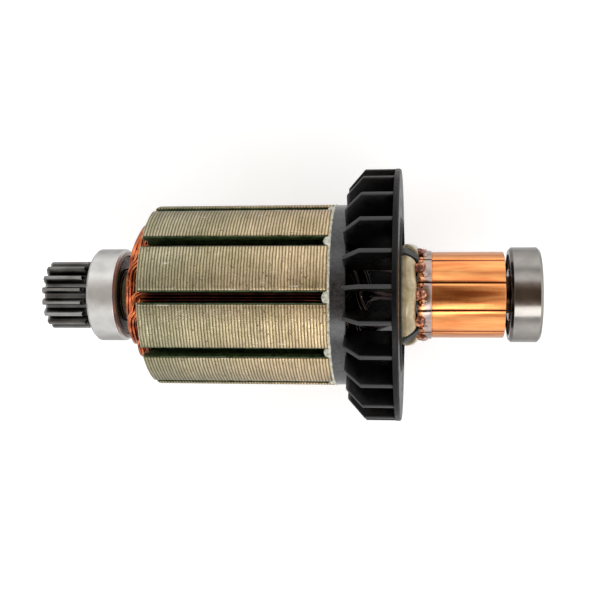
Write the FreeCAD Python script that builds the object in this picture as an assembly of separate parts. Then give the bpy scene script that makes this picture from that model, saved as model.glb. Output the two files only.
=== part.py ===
import FreeCAD, Part
import math
import os

os.makedirs("parts", exist_ok=True)

# Wound rotor of a brushed motor, in millimetres and degrees.
# The shaft lies along X and the commutator end points to +X. +Z is up.
# The origin is the centre of the rear bearing.
# Angles turn about +X, from +Z towards -Y.

# Ball bearings, the same size at both ends
bearing_bore = 8.0
bearing_outside = 22.0
bearing_width = 7.0
ball_diameter = 3.969
ball_count = 7
race_clearance = 0.1
inner_land_wall = 2.05
outer_land_wall = 2.1
ring_chamfer = 0.5
cage_inner_gap = 0.55
cage_outer_gap = 0.6
cage_shield_gap = 0.2
pocket_clearance = 0.12
shield_thickness = 0.3
shield_recess = 0.35
shield_rim_depth = 0.5
shield_step_inset = 0.8
shield_gap = 0.3

# Shaft
pinion_seat_diameter = 7.0
core_seat_diameter = 10.0
commutator_seat_diameter = 8.6
shaft_end_recess = 0.4
shaft_end_chamfer = 0.4
centre_hole_diameter = 2.2
centre_hole_depth = 1.9

# Pinion
tooth_count = 16
tooth_module = 0.9
pressure_angle = 20.0
addendum_share = 1.0
dedendum_share = 1.25
pinion_face = 10.0
flank_point_count = 4
tooth_phase = -8.8
pinion_hub_length = 1.7
pinion_hub_diameter = 11.2
tooth_end_chamfer = 0.75
tooth_lead_chamfer = 0.25

# Core of stamped sheets
slot_count = 10
slot_phase = 1.65
core_diameter = 42.4
core_length = 41.4
slot_opening = 3.1
tooth_body_width = 5.0
tooth_tip_thickness = 1.2
tooth_tip_taper = 0.9
slot_floor_radius = 10.6
slot_floor_round = 0.5
sleeve_length = 8.25
sleeve_wall = 0.9
spacer_wall = 1.4

# Insulating coat on the core
coat_thickness = 0.35
coat_edge_drop = 0.25

# Coils: each spans four slots, its outer side over the inner side of another
coil_span = 4
coil_side_clearance = 0.2
coil_layer_clearance = 0.3
inner_side_height = 3.4
bundle_diameter = 2.2
bundle_corner_share = 0.6
front_head_reach = 4.3
rear_head_reach = 8.2
head_turn_reach = 1.48
head_turn_angle = 11.0
head_bend_angle = 1.4
head_bulge_angle = 18.0
head_bulge = 0.67
head_outer_shoulder = 0.82
head_inner_shoulder = 0.365
head_bulge_drop = 0.35
head_outer_drop = 2.0
head_middle_drop = 1.67
head_inner_drop = 3.55
head_step_count = 12

# Fan, one moulding
blade_count = 24
blade_phase = -3.3
fan_diameter = 58.7
disc_thickness = 1.65
disc_hole_diameter = 35.0
disc_recess_diameter = 45.6
disc_recess_depth = 0.5
disc_lip = 0.6
disc_edge_chamfer = 0.3
blade_thickness = 0.9
blade_length = 10.7
blade_low_diameter = 49.9
blade_slope_length = 3.85
blade_inner_diameter = 36.2
collar_diameter = 42.2
collar_bore_diameter = 39.0
collar_length = 3.5
collar_lap = 0.5
blade_foot_lap = 0.5

# Glue between the collar and the core
glue_thickness = 0.35
glue_squeeze = 0.05
glue_bead_diameter = 1.8
glue_bead_length = 1.6

# Commutator
bar_phase = 2.6
track_diameter = 20.0
track_length = 16.45
riser_diameter = 20.6
riser_length = 3.15
bar_gap = 0.45
bar_depth = 3.1
bar_foot_inset = 0.8
bar_neck_inset = 1.5
bar_neck_depth = 2.0
bar_end_depth = 1.4
undercut = 0.8
tang_width = 2.2
tang_height = 0.8
tang_length = 1.9
tang_clearance = 0.05
hub_diameter = 18.4
hub_length = 3.4
bush_wall = 1.3
bearing_spacing = 1.1

# Leads from the coils to the bars, and the resin over them
lead_width = 1.3
lead_height = 0.8
lead_clearance = 0.15
lead_rise = 2.6
lead_first_bend = 0.35
lead_first_drop = 0.35
lead_second_bend = 0.75
lead_second_drop = 0.9
resin_diameter = 24.2
resin_edge_diameter = 22.0
resin_lap = 0.3
resin_round = 0.8
seam_angles = (-44.0, 46.0, 136.0, -134.0)
seam_width = 2.4
seam_depth = 0.9

# How far a cutting shape stands past what it cuts
overcut = 1.0

# Stations along X, from the rear bearing to the pinion
rear_bearing_x = 0.0
shaft_rear_x = rear_bearing_x + bearing_width / 2 - shaft_end_recess
rear_shoulder_x = rear_bearing_x - bearing_width / 2
track_end_x = rear_shoulder_x - bearing_spacing
track_start_x = track_end_x - track_length
riser_start_x = track_start_x - riser_length
hub_start_x = riser_start_x - hub_length
disc_face_x = hub_start_x
disc_back_x = disc_face_x - disc_thickness
blade_start_x = disc_back_x - blade_length
collar_end_x = blade_start_x + collar_lap
collar_start_x = collar_end_x - collar_length
glue_start_x = collar_start_x - glue_thickness
core_rear_x = glue_start_x - coat_thickness
core_front_x = core_rear_x - core_length
sleeve_rear_x = core_front_x - coat_thickness
sleeve_front_x = sleeve_rear_x - sleeve_length
front_bearing_x = sleeve_front_x - bearing_width / 2
pinion_rear_x = front_bearing_x - bearing_width / 2
teeth_rear_x = pinion_rear_x - pinion_hub_length
pinion_front_x = teeth_rear_x - pinion_face
shaft_front_x = pinion_front_x + shaft_end_recess

# Radii that several pieces share
ball_circle_radius = (bearing_bore + bearing_outside) / 4
inner_land_radius = bearing_bore / 2 + inner_land_wall
outer_land_radius = bearing_outside / 2 - outer_land_wall
core_radius = core_diameter / 2
shaft_radius = core_seat_diameter / 2
slot_pitch = 360.0 / slot_count
half_pitch = math.radians(slot_pitch / 2)
tip_radius = core_radius - tooth_tip_thickness
shoulder_radius = tip_radius - tooth_tip_taper
coil_low_radius = slot_floor_radius + coat_thickness + coil_side_clearance + slot_floor_round
coil_high_radius = shoulder_radius - coat_thickness / 2 - coil_side_clearance
inner_side_radius = coil_low_radius + inner_side_height / 2
outer_side_height = coil_high_radius - coil_low_radius - inner_side_height - coil_layer_clearance
outer_side_radius = coil_high_radius - outer_side_height / 2
bar_top_radius = riser_diameter / 2
glue_radius = core_radius + glue_squeeze
lead_radius = hub_diameter / 2 + lead_clearance + lead_height / 2

ORIGIN = FreeCAD.Vector(0, 0, 0)
AXIS = FreeCAD.Vector(1, 0, 0)


def at(x, radius, angle):
    """Point at a station, a radius and an angle about the shaft."""
    turn = math.radians(angle)
    return FreeCAD.Vector(x, -radius * math.sin(turn), radius * math.cos(turn))


def turned(profile, sweep=360.0, start=0.0):
    """Solid of revolution about the shaft from (x, radius) corners."""
    corners = [at(x, radius, start) for x, radius in profile]
    face = Part.Face(Part.makePolygon(corners + corners[:1]))
    return face.revolve(ORIGIN, AXIS, sweep)


def spun(shape, angle):
    """Copy of a shape, turned about the shaft."""
    copy = shape.copy()
    copy.rotate(ORIGIN, AXIS, angle)
    return copy


def around(shape, count, phase):
    """Copies of a shape, evenly spaced about the shaft."""
    return [spun(shape, phase + i * 360.0 / count) for i in range(count)]


def save(node, shape):
    """Write one sub-part."""
    shape.exportStep("parts/%s.step" % node)


def prism(outline, x_start, x_end):
    """Solid between two stations from (across, up) corners of its section."""
    corners = [FreeCAD.Vector(x_start, across, up) for across, up in outline]
    face = Part.Face(Part.makePolygon(corners + corners[:1]))
    return face.extrude(FreeCAD.Vector(x_end - x_start, 0, 0))


def outer_ring(x_mid):
    """Outer ring with its raceway and a recess for each shield."""
    low = x_mid - bearing_width / 2
    high = x_mid + bearing_width / 2
    outside = bearing_outside / 2
    land = outer_land_radius
    recess = land + shield_rim_depth
    depth = shield_recess + shield_thickness
    ring = turned([
        (low, recess), (low, outside - ring_chamfer), (low + ring_chamfer, outside),
        (high - ring_chamfer, outside), (high, outside - ring_chamfer), (high, recess),
        (high - depth, recess), (high - depth, land), (low + depth, land), (low + depth, recess),
    ])
    return ring.cut(raceway(x_mid))


def inner_ring(x_mid):
    """Inner ring with its raceway."""
    low = x_mid - bearing_width / 2
    high = x_mid + bearing_width / 2
    bore = bearing_bore / 2
    land = inner_land_radius
    edge = ring_chamfer / 2
    ring = turned([
        (low, bore + edge), (low, land - edge), (low + edge, land), (high - edge, land),
        (high, land - edge), (high, bore + edge), (high - edge, bore), (low + edge, bore),
    ])
    return ring.cut(raceway(x_mid))


def raceway(x_mid):
    """Torus that the balls run in."""
    section = ball_diameter / 2 + race_clearance
    return Part.makeTorus(ball_circle_radius, section, FreeCAD.Vector(x_mid, 0, 0), AXIS)


def balls(x_mid):
    """The ring of balls."""
    ball = Part.makeSphere(ball_diameter / 2, at(x_mid, ball_circle_radius, 0))
    return around(ball, ball_count, 0)


def cage(x_mid):
    """Moulded cage with a pocket for each ball."""
    end_room = shield_recess + shield_thickness * 3 / 2 + cage_shield_gap
    low = x_mid - bearing_width / 2 + end_room
    high = x_mid + bearing_width / 2 - end_room
    inside = inner_land_radius + cage_inner_gap
    outside = outer_land_radius - cage_outer_gap
    ring = turned([(low, inside), (low, outside), (high, outside), (high, inside)])
    drill = Part.makeCylinder(ball_diameter / 2 + pocket_clearance, bearing_outside, ORIGIN, at(0, 1, 0))
    drill.translate(FreeCAD.Vector(x_mid, 0, 0))
    return ring.cut(Part.makeCompound(around(drill, ball_count, 0)))


def shield(x_mid, side):
    """Pressed sheet shield, seated in the outer ring's recess. Side is 1 or -1."""
    face = x_mid + side * (bearing_width / 2 - shield_recess)
    rim = outer_land_radius + shield_rim_depth
    hole = inner_land_radius + shield_gap
    back = face - side * shield_thickness
    dish = side * shield_thickness / 2
    step = outer_land_radius - shield_step_inset
    return turned([
        (back, rim), (face, rim), (face, step + shield_thickness), (face - dish, step),
        (face - dish, hole), (back - dish, hole), (back - dish, step - shield_thickness),
        (back, step),
    ])


def save_bearing(name, x_mid):
    """Write the six sub-parts of a ball bearing."""
    save(name + "_bearing_outer_ring", outer_ring(x_mid))
    save(name + "_bearing_inner_ring", inner_ring(x_mid))
    save(name + "_bearing_balls", Part.makeCompound(balls(x_mid)))
    save(name + "_bearing_cage", cage(x_mid))
    save(name + "_bearing_front_shield", shield(x_mid, -1))
    save(name + "_bearing_rear_shield", shield(x_mid, 1))


def shaft():
    """Stepped shaft, with a shoulder for each piece that is pressed on."""
    pinion_seat = pinion_seat_diameter / 2
    journal = bearing_bore / 2
    commutator_seat = commutator_seat_diameter / 2
    front_shoulder = sleeve_front_x
    centre_hole = centre_hole_diameter / 2
    return turned([
        (shaft_front_x + centre_hole_depth, 0), (shaft_front_x, centre_hole),
        (shaft_front_x, pinion_seat - shaft_end_chamfer),
        (shaft_front_x + shaft_end_chamfer, pinion_seat), (pinion_rear_x, pinion_seat),
        (pinion_rear_x, journal), (front_shoulder, journal), (front_shoulder, shaft_radius),
        (hub_start_x, shaft_radius), (hub_start_x, commutator_seat),
        (rear_shoulder_x, commutator_seat), (rear_shoulder_x, journal),
        (shaft_rear_x - shaft_end_chamfer, journal), (shaft_rear_x, journal - shaft_end_chamfer),
        (shaft_rear_x, centre_hole), (shaft_rear_x - centre_hole_depth, 0),
    ])


def involute(angle):
    """Involute function of an angle in radians."""
    return math.tan(angle) - angle


def flank_angle(radius, base_radius):
    """Half of the tooth's angle at a radius, in degrees."""
    alpha = math.radians(pressure_angle)
    at_pitch = math.pi / 2 / tooth_count
    here = math.acos(min(1.0, base_radius / radius))
    return math.degrees(at_pitch + involute(alpha) - involute(here))


def pinion():
    """Straight involute teeth on a hub, with the tooth ends turned to a cone."""
    pitch_radius = tooth_module * tooth_count / 2
    base_radius = pitch_radius * math.cos(math.radians(pressure_angle))
    outside = pitch_radius + tooth_module * addendum_share
    root = pitch_radius - tooth_module * dedendum_share
    steps = [i / flank_point_count for i in range(flank_point_count + 1)]
    radii = [base_radius + (outside - base_radius) * step for step in steps]
    pitch = 360.0 / tooth_count
    edges = []
    for i in range(tooth_count):
        middle = tooth_phase + i * pitch
        rise = [at(pinion_front_x, r, middle - flank_angle(r, base_radius)) for r in radii]
        fall = [at(pinion_front_x, r, middle + flank_angle(r, base_radius)) for r in reversed(radii)]
        foot = flank_angle(base_radius, base_radius)
        first = at(pinion_front_x, root, middle - foot)
        last = at(pinion_front_x, root, middle + foot)
        valley = at(pinion_front_x, root, middle + pitch / 2)
        following = at(pinion_front_x, root, middle + pitch - foot)
        crest = at(pinion_front_x, outside, middle)
        left = Part.BSplineCurve()
        left.interpolate(rise)
        right = Part.BSplineCurve()
        right.interpolate(fall)
        edges += [
            Part.makeLine(first, rise[0]),
            left.toShape(),
            Part.Arc(rise[-1], crest, fall[0]).toShape(),
            right.toShape(),
            Part.makeLine(fall[-1], last),
            Part.Arc(last, valley, following).toShape(),
        ]
    teeth = Part.Face(Part.Wire(edges)).extrude(FreeCAD.Vector(pinion_face, 0, 0))
    slope = (outside - root) / 2
    blank = turned([
        (pinion_front_x, 0), (pinion_front_x, outside - tooth_lead_chamfer),
        (pinion_front_x + tooth_lead_chamfer, outside), (teeth_rear_x - tooth_end_chamfer, outside),
        (teeth_rear_x, outside - 2 * slope), (teeth_rear_x, 0),
    ])
    hub = turned([
        (teeth_rear_x - pinion_face / 2, 0), (teeth_rear_x - pinion_face / 2, root - slope / 2),
        (teeth_rear_x, root - slope / 2), (teeth_rear_x, pinion_hub_diameter / 2),
        (pinion_rear_x, pinion_hub_diameter / 2), (pinion_rear_x, 0),
    ])
    bore = Part.makeCylinder(pinion_seat_diameter / 2, pinion_rear_x - pinion_front_x,
                             FreeCAD.Vector(pinion_front_x, 0, 0), AXIS)
    return teeth.common(blank).fuse(hub).cut(bore)


def slot_wall(radius, inset):
    """Half width of a slot between parallel-sided teeth."""
    return radius * math.tan(half_pitch) - (tooth_body_width / 2 + inset) / math.cos(half_pitch)


def slot_cutter(inset, x_start, x_end):
    """One slot, open at the core's surface and inset from its walls."""
    mouth = slot_opening / 2 - inset
    above = core_radius + overcut
    neck = tip_radius - inset
    shoulder = shoulder_radius - inset / 2
    floor = slot_floor_radius + inset
    half = [
        (mouth, above), (mouth, neck), (slot_wall(shoulder, inset), shoulder),
        (slot_wall(floor, inset), floor),
    ]
    bottom = floor - slot_floor_round
    right = [FreeCAD.Vector(x_start, across, up) for across, up in half]
    left = [FreeCAD.Vector(x_start, -across, up) for across, up in reversed(half)]
    edges = Part.makePolygon(right).Edges
    edges.append(Part.Arc(right[-1], FreeCAD.Vector(x_start, 0, bottom), left[0]).toShape())
    edges += Part.makePolygon(left + right[:1]).Edges
    return Part.Face(Part.Wire(edges)).extrude(FreeCAD.Vector(x_end - x_start, 0, 0))


def slotted(radius, bore, x_start, x_end, inset):
    """Slotted cylinder that the core and its coat are both made from."""
    blank = turned([(x_start, bore), (x_start, radius), (x_end, radius), (x_end, bore)])
    cutter = slot_cutter(inset, x_start - overcut, x_end + overcut)
    return blank.cut(Part.makeCompound(around(cutter, slot_count, slot_phase)))


def core():
    """Stack of stamped sheets."""
    return slotted(core_radius, shaft_radius, core_front_x, core_rear_x, 0.0)


def core_coat(stack):
    """Coat that lines the slots and covers both ends of the stack."""
    coat = slotted(core_radius - coat_edge_drop, shaft_radius, core_front_x - coat_thickness,
                   core_rear_x + coat_thickness, coat_thickness)
    return coat.cut(stack)


def bundle_section(centre, along, up, low_width, high_width, height):
    """Six corners of a wire bundle's section, square to its path."""
    along = FreeCAD.Vector(along).normalize()
    up = (up - along * up.dot(along)).normalize()
    side = along.cross(up)
    half = height / 2
    low = low_width / 2 * bundle_corner_share
    high = high_width / 2 * bundle_corner_share
    middle = (low_width + high_width) / 4
    corners = [(low, -half), (middle, 0), (high, half), (-high, half), (-middle, 0), (-low, -half)]
    return [centre + side * across + up * rise for across, rise in corners]


def skinned(sections, ring):
    """Flat-sided solid through sections with equal corner counts. A ring joins its ends."""
    faces = []
    count = len(sections[0])
    pairs = list(zip(sections, sections[1:]))
    if ring:
        pairs.append((sections[-1], sections[0]))
    for one, two in pairs:
        for i in range(count):
            j = (i + 1) % count
            faces.append([one[i], one[j], two[j]])
            faces.append([one[i], two[j], two[i]])
    if not ring:
        faces.append(list(reversed(sections[0])))
        faces.append(sections[-1])
    shell = Part.makeShell([Part.Face(Part.makePolygon(face + face[:1])) for face in faces])
    shell.sewShape()
    solid = Part.Solid(shell)
    if solid.Volume < 0:
        solid.reverse()
    return solid


def head_route(x_end, side, reach):
    """Stations of a coil head as (x, radius, angle), from the outer to the inner slot side."""
    span = coil_span * slot_pitch
    outer_shoulder = outer_side_radius - head_outer_drop
    inner_shoulder = inner_side_radius - head_inner_drop
    middle = (outer_shoulder + inner_shoulder) / 2 - head_middle_drop
    knots = [
        FreeCAD.Vector(head_turn_angle, outer_side_radius, head_turn_reach),
        FreeCAD.Vector(head_bulge_angle, outer_side_radius - head_bulge_drop, reach * head_bulge),
        FreeCAD.Vector(slot_pitch, outer_shoulder, reach * head_outer_shoulder),
        FreeCAD.Vector(span / 2, middle, reach),
        FreeCAD.Vector(span - slot_pitch, inner_shoulder, reach * head_inner_shoulder),
        FreeCAD.Vector(span - head_turn_angle, inner_side_radius, head_turn_reach),
    ]
    curve = Part.BSplineCurve()
    curve.interpolate(Points=knots, Parameters=[knot.x for knot in knots])
    half_turn = x_end + side * head_turn_reach / 2
    route = [(x_end, outer_side_radius, 0.0), (half_turn, outer_side_radius, head_bend_angle)]
    for i in range(head_step_count + 1):
        share = (1 - math.cos(math.pi * i / head_step_count)) / 2
        knot = curve.value(knots[0].x + (knots[-1].x - knots[0].x) * share)
        route.append((x_end + side * knot.z, knot.y, knot.x))
    route.append((half_turn, inner_side_radius, span - head_bend_angle))
    route.append((x_end, inner_side_radius, span))
    return route


def side_section(x, radius, angle):
    """Section of a coil's side, as wide as its slot allows."""
    spread = coat_thickness + coil_side_clearance
    outer = radius == outer_side_radius
    height = outer_side_height if outer else inner_side_height
    low = 2 * slot_wall(radius - height / 2, spread)
    high = 2 * slot_wall(radius + height / 2, spread)
    along = AXIS if outer else AXIS * -1
    return bundle_section(at(x, radius, angle), along, at(0, 1, angle), low, high, height)


def coil():
    """One closed coil: two slot sides joined by a head at each end."""
    front_x = core_front_x - coat_thickness
    rear_x = core_rear_x + coat_thickness
    loop = list(reversed(head_route(front_x, -1, front_head_reach)))
    loop += head_route(rear_x, 1, rear_head_reach)
    sections = []
    for i, (x, radius, angle) in enumerate(loop):
        if front_x <= x <= rear_x:
            sections.append(side_section(x, radius, angle))
            continue
        before = at(*loop[i - 1])
        after = at(*loop[(i + 1) % len(loop)])
        sections.append(bundle_section(at(x, radius, angle), after - before, at(0, 1, angle),
                                       bundle_diameter, bundle_diameter, bundle_diameter))
    return skinned(sections, True)


def fan():
    """Collar, blades and disc in one moulding."""
    outside = fan_diameter / 2
    hole = disc_hole_diameter / 2
    recess = disc_recess_diameter / 2
    lip = hole + disc_lip
    sunk = disc_face_x - disc_recess_depth
    disc = turned([
        (disc_back_x, hole), (disc_back_x, outside), (disc_face_x - disc_edge_chamfer, outside),
        (disc_face_x, outside - disc_edge_chamfer), (disc_face_x, recess),
        (sunk, recess - disc_recess_depth), (sunk, lip + disc_recess_depth / 2), (disc_face_x, lip),
        (disc_face_x, hole),
    ])
    bore = collar_bore_diameter / 2
    collar = turned([
        (collar_start_x, bore), (collar_start_x, collar_diameter / 2),
        (collar_end_x, collar_diameter / 2), (collar_end_x, bore),
    ])
    inner = blade_inner_diameter / 2
    foot = bore + blade_foot_lap
    outline = [
        at(collar_end_x, inner, 0), at(collar_end_x, foot, 0), at(blade_start_x, foot, 0),
        at(blade_start_x, blade_low_diameter / 2, 0),
        at(blade_start_x + blade_slope_length, outside, 0), at(disc_back_x, outside, 0),
        at(disc_back_x, inner, 0),
    ]
    face = Part.Face(Part.makePolygon(outline + outline[:1]))
    blade = face.extrude(FreeCAD.Vector(0, blade_thickness, 0))
    blade.translate(FreeCAD.Vector(0, -blade_thickness / 2, 0))
    return disc.multiFuse([collar] + around(blade, blade_count, blade_phase))


def glue():
    """Ring of glue at the collar, with a bead in each slot mouth."""
    bead_radius = glue_bead_diameter / 2
    ring = turned([
        (glue_start_x, collar_bore_diameter / 2), (glue_start_x, glue_radius - glue_thickness),
        (glue_start_x + glue_thickness / 2, glue_radius),
        (collar_start_x, glue_radius - glue_thickness / 2),
        (collar_start_x, collar_bore_diameter / 2),
    ])
    middle = core_radius - bead_radius / 2
    corner = bead_radius / 2
    outline = [(-bead_radius, middle - corner), (-corner, middle - bead_radius),
               (corner, middle - bead_radius), (bead_radius, middle - corner),
               (bead_radius, middle + corner), (corner, middle + bead_radius),
               (-corner, middle + bead_radius), (-bead_radius, middle + corner)]
    bead = prism(outline, collar_start_x - glue_bead_length, collar_start_x)
    return ring.multiFuse(around(bead, slot_count, slot_phase))


def bar():
    """Commutator bar with its foot, riser and folded tang."""
    track = track_diameter / 2
    foot = track - bar_depth
    sweep = 360.0 / slot_count - math.degrees(bar_gap / track)
    body = turned([
        (track_end_x, track), (track_start_x, track), (track_start_x, bar_top_radius),
        (riser_start_x, bar_top_radius), (riser_start_x, track - bar_end_depth),
        (riser_start_x + bar_neck_inset, track - bar_neck_depth),
        (riser_start_x + bar_foot_inset, foot), (track_end_x - bar_foot_inset, foot),
        (track_end_x - bar_neck_inset, track - bar_neck_depth), (track_end_x, track - bar_end_depth),
    ], sweep, -sweep / 2)
    tang_start = riser_start_x + resin_lap + tang_clearance
    bevel = tang_height / 2
    root = bar_top_radius - bevel
    top = bar_top_radius + tang_height
    outline = [
        at(tang_start, root, 0), at(tang_start, top - bevel, 0), at(tang_start + bevel, top, 0),
        at(tang_start + tang_length - bevel, top, 0), at(tang_start + tang_length, root, 0),
    ]
    tang = Part.Face(Part.makePolygon(outline + outline[:1])).extrude(FreeCAD.Vector(0, tang_width, 0))
    tang.translate(FreeCAD.Vector(0, -tang_width / 2, 0))
    return body.fuse(tang)


def moulding(bars):
    """Moulding that grips the feet of the bars."""
    bore = commutator_seat_diameter / 2 + bush_wall
    between = track_diameter / 2 - undercut
    blank = turned([
        (hub_start_x, bore), (hub_start_x, hub_diameter / 2), (track_end_x, between),
        (track_end_x, bore),
    ])
    return blank.cut(Part.makeCompound(bars))


def bush():
    """Metal bush between the moulding and the shaft."""
    seat = commutator_seat_diameter / 2
    return turned([
        (hub_start_x, seat), (hub_start_x, seat + bush_wall), (track_end_x, seat + bush_wall),
        (track_end_x, seat),
    ])


def lead():
    """Pair of wires from a coil head down to its bar."""
    head_x = core_rear_x + coat_thickness + rear_head_reach + bundle_diameter / 2
    top = lead_radius + lead_rise
    run = disc_back_x - head_x
    route = [
        (head_x + lead_clearance, top, 0.0),
        (head_x + run * lead_first_bend, top - lead_rise * lead_first_drop, 0.0),
        (head_x + run * lead_second_bend, top - lead_rise * lead_second_drop, 0.0),
        (disc_back_x, lead_radius, 0.0), (riser_start_x, lead_radius, 0.0),
    ]
    sections = []
    for i, station in enumerate(route):
        before = at(*route[max(0, i - 1)])
        after = at(*route[min(len(route) - 1, i + 1)])
        sections.append(bundle_section(at(*station), after - before, at(0, 1, 0),
                                       lead_width, lead_width, lead_height))
    return skinned(sections, False)


def resin():
    """Ring of resin over the leads, parted by four seams."""
    low = lead_radius + lead_height / 2 + lead_clearance
    outside = resin_diameter / 2
    end_x = riser_start_x + resin_lap
    ring = turned([
        (disc_face_x, low), (disc_face_x, outside - resin_round), (disc_face_x + resin_round, outside),
        (end_x - resin_round, resin_edge_diameter / 2), (end_x, low),
    ])
    half = seam_width / 2
    bottom = outside - seam_depth
    top = outside + overcut
    cutter = prism([(-half, bottom), (half, bottom), (half, top), (-half, top)],
                   disc_face_x - overcut, end_x + overcut)
    return ring.cut(Part.makeCompound([spun(cutter, angle) for angle in seam_angles]))


def main():
    """Write every sub-part."""
    save("shaft", shaft())
    save("pinion", pinion())
    save_bearing("front", front_bearing_x)
    save_bearing("rear", rear_bearing_x)
    save("shaft_sleeve", turned([
        (sleeve_front_x, shaft_radius), (sleeve_front_x, shaft_radius + sleeve_wall),
        (sleeve_rear_x, shaft_radius + sleeve_wall), (sleeve_rear_x, shaft_radius),
    ]))
    spacer_start = core_rear_x + coat_thickness
    save("shaft_spacer", turned([
        (spacer_start, shaft_radius), (spacer_start, shaft_radius + spacer_wall),
        (hub_start_x, shaft_radius + spacer_wall), (hub_start_x, shaft_radius),
    ]))
    stack = core()
    save("core_laminations", stack)
    save("core_insulation", core_coat(stack))
    for number, shape in enumerate(around(coil(), slot_count, slot_phase), 1):
        save("coil_%d" % number, shape)
    save("cooling_fan", fan())
    save("fan_glue", glue())
    bars = around(bar(), slot_count, bar_phase)
    for number, shape in enumerate(bars, 1):
        save("commutator_bar_%d" % number, shape)
    save("commutator_moulding", moulding(bars))
    save("commutator_bush", bush())
    for number, shape in enumerate(around(lead(), slot_count, bar_phase), 1):
        save("coil_lead_%d" % number, shape)
    save("lead_resin", resin())


main()
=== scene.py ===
import math
import random

import bmesh
import bpy
from mathutils import Matrix, Vector, noise
from mathutils.geometry import tessellate_polygon


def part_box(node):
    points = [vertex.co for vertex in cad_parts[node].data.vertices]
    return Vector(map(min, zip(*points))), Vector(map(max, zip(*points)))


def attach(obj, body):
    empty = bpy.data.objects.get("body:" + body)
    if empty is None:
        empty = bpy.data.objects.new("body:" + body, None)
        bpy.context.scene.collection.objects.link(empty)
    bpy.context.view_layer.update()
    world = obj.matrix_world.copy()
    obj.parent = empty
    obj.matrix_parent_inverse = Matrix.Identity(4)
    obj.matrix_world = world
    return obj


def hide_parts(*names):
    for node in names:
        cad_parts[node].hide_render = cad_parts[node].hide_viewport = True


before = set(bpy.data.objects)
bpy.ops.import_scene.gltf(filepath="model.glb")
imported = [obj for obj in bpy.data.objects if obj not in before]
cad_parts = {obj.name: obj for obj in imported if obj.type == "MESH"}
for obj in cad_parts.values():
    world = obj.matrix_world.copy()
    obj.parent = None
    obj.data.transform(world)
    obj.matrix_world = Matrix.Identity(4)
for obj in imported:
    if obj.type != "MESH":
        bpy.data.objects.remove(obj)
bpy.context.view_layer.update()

# Looks of a motor armature around its CAD frame. Sizes are in millimetres and angles in degrees.
# Angles turn about +X, from +Z towards -Y, as in the CAD.

MM = 0.001

# How finely round pieces are drawn
RING_SEGMENTS = 128
FINE_SEGMENTS = 240
LUMPY_SEGMENTS = 360
LUMP_RADIUS = 10.0
HOLE_SEGMENTS = 64
CORNER_STEPS = 3
SHARP_ANGLE = 32.0
WELD = 1e-4

# Shaft, bearings and pipes
BEARING_BORE = 4.0
BEARING_CHAMFER = 0.6
RING_BEVEL = 0.25
SHIELD_SHEET = 0.3
SHIELD_STEP = 8.1
CORE_BORE = 5.0
BUSH_BORE = 4.3
PINION_BORE = 3.5
CENTRE_HOLE = 1.1
# Dark brown painted shade for steel in the gaps between the bearings
GAP_SHADE = (0.05, 0.032, 0.022)

# Core
SLOT_COUNT = 10
SLOT_PITCH = 360.0 / SLOT_COUNT
SLOT_PHASE = 1.65
SLOT_OPENING = 3.1
TOOTH_BODY = 5.0
TIP_THICKNESS = 1.2
TIP_TAPER = 0.9
SLOT_FLOOR = 10.6
SLOT_ROUND = 0.5
SHEET_COUNT = 60
GROOVE_DEPTH = 0.1
TOOTH_ARC_STEPS = 12
RIM_ROUND = 0.1
COAT = 0.35
COAT_DROP = 0.25
COAT_ROUND = 0.15
COAT_STEPS = 60

# Coils
WIRE = 0.74
LEAD_WIRE = 0.9
WIRE_TIP = 0.6
GATHER_LENGTH = 2.2
LOOSENESS = 0.09
COIL_SPAN = 4
OUTER_SIDE = 17.04
INNER_SIDE = 13.35
HEAD_BULGE_DROP = 0.35
HEAD_OUTER_DROP = 2.0
HEAD_MIDDLE_DROP = 1.67
HEAD_INNER_DROP = 3.55
FRONT_HEAD_REACH = 4.3
REAR_HEAD_REACH = 8.2
TURN_REACH = 1.48
TURN_ANGLE = 11.0
BULGE_ANGLE = 18.0
BULGE = 0.57
OUTER_SHOULDER = 0.72
INNER_SHOULDER = 0.365
HEAD_STEPS = 46
FLAT_HEADS = {2: 0.45, 9: 0.4}  # share of the front head's reach, by coil
SIDE_STEPS = 6
WIRE_SIDES = 8
# Places of the seven wires in the outer and inner side of a slot: sideways and outwards
OUTER_PLACES = [(0.1, -0.6), (1.5, 0.3), (0.75, 0.0), (-0.7, 0.1), (-1.5, 0.2), (-0.6, -1.1), (0.7, -1.1)]
INNER_PLACES = [(0.0, 0.1), (0.75, 0.2), (0.4, 0.8), (-0.4, 0.8), (-0.75, 0.1), (-0.4, -0.6), (0.4, -0.6)]

# Fan
BLADE_COUNT = 24
BLADE_PHASE = -3.3
BLADE_THICKNESS = 0.9
BLADE_EDGE = 0.16
HOLE_RADIUS = 17.5
RECESS_RADIUS = 22.8
RECESS_DEPTH = 0.5
DISC_THICKNESS = 1.65
RIM_TRIM = 0.35
BLADE_LENGTH = 10.7
BLADE_LOW_RADIUS = 24.95
BLADE_SLOPE = 3.85
BLADE_INNER_RADIUS = 18.1
COLLAR_RADIUS = 21.1
COLLAR_BORE = 19.5
COLLAR_LENGTH = 3.5
COLLAR_FLANGE = 2.9
GLUE_WIDTH = 0.35

# Commutator
BAR_PHASE = 2.6
LINE_GAP = 0.32
BAR_FOOT = 7.6
BAR_EDGE = 0.07
BAR_STEPS = 10
RISER_LENGTH = 3.15
RISER_DROP = 0.7
TRACK_DROP = 0.3
TANG_HEIGHT = 0.8
TANG_INSET = 0.35
LEAD_RADIUS = 9.75
RESIN_CUT = 2.6
ARM_STEPS = 14
# Lumps of a tang: start and end along the shaft, left and right edge, height, paint
TANG_LUMPS = ((-1.2, 1.5, -0.8, 1.9, 0.8, 1), (0.0, 2.0, -2.1, -0.5, 0.48, 0))
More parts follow.
